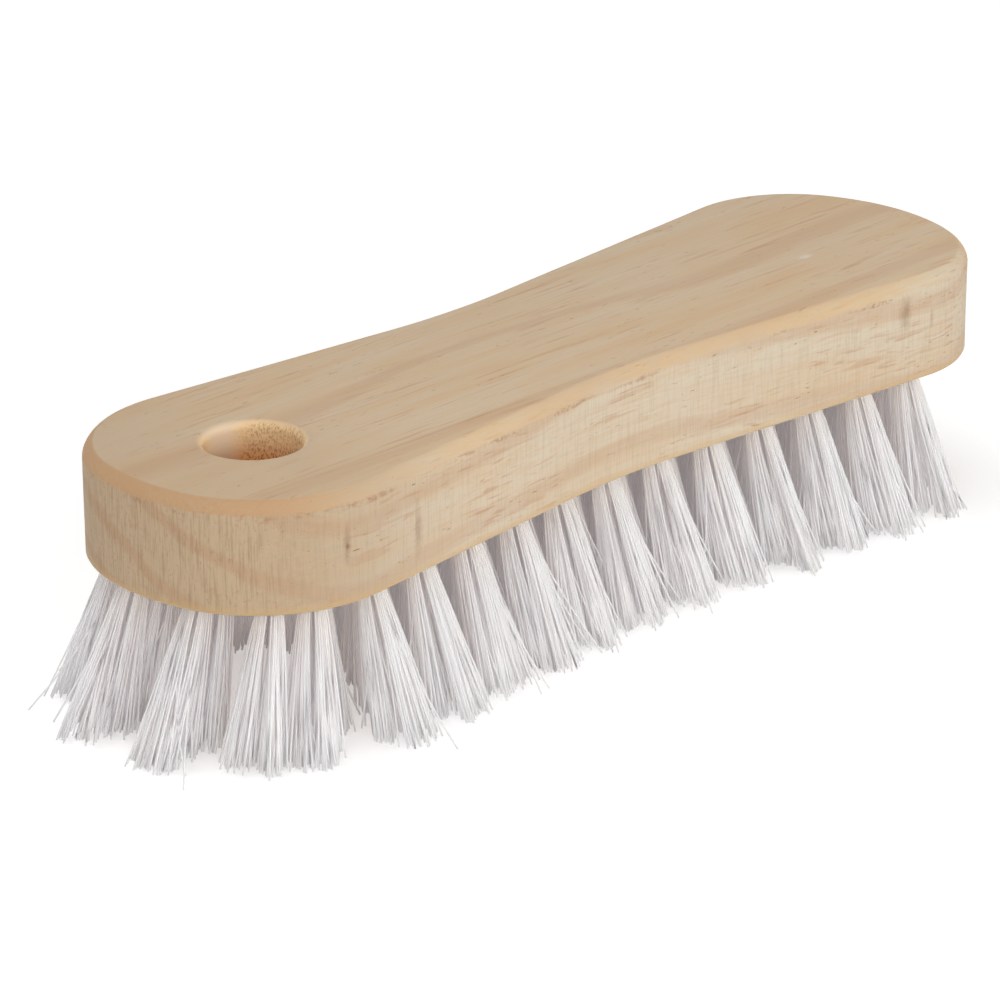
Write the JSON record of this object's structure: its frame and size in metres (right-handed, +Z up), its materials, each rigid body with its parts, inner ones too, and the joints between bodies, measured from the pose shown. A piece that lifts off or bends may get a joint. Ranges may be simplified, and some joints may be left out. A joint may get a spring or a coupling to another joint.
{
  "type": "scrub brush",
  "caption": "Waisted wooden scrub brush with a round hanging hole and pale, splayed bristle tufts held in drilled holes by wire anchors.",
  "frame": {"origin": "on the ground, at the bristle tips, under the middle of the brush", "axes": "+X along the block from the hanging hole's end to the broad head, +Y across the block, +Z up out of the block's top face"},
  "size_m": [0.2317, 0.0768, 0.054],
  "materials": {
    "wood": "bare sanded hardwood, unvarnished",
    "bristle": "white synthetic bristle, semi-clear with a soft sheen",
    "anchor_wire": "flat drawn steel wire"
  },
  "bodies": {
    "root": {"wood_block": "wood", "anchor_wires": "anchor_wire", "tuft_row_01": "bristle", "tuft_row_02": "bristle", "tuft_row_03": "bristle", "tuft_row_04": "bristle", "tuft_row_05": "bristle", "tuft_row_06": "bristle", "tuft_row_07": "bristle", "tuft_row_08": "bristle", "tuft_row_09": "bristle", "tuft_row_10": "bristle", "tuft_row_11": "bristle", "tuft_row_12": "bristle", "tuft_row_13": "bristle", "tuft_row_14": "bristle", "tuft_row_15": "bristle", "tuft_row_16": "bristle", "tuft_row_17": "bristle", "tuft_row_18": "bristle", "tuft_row_19": "bristle", "tuft_row_20": "bristle", "tuft_row_21": "bristle", "tuft_row_22": "bristle", "tuft_row_23": "bristle", "tuft_row_24": "bristle", "tuft_row_25": "bristle", "tuft_row_26": "bristle", "tuft_row_27": "bristle", "tuft_row_28": "bristle", "tuft_row_29": "bristle", "tuft_row_30": "bristle"}
  },
  "joints": []
}
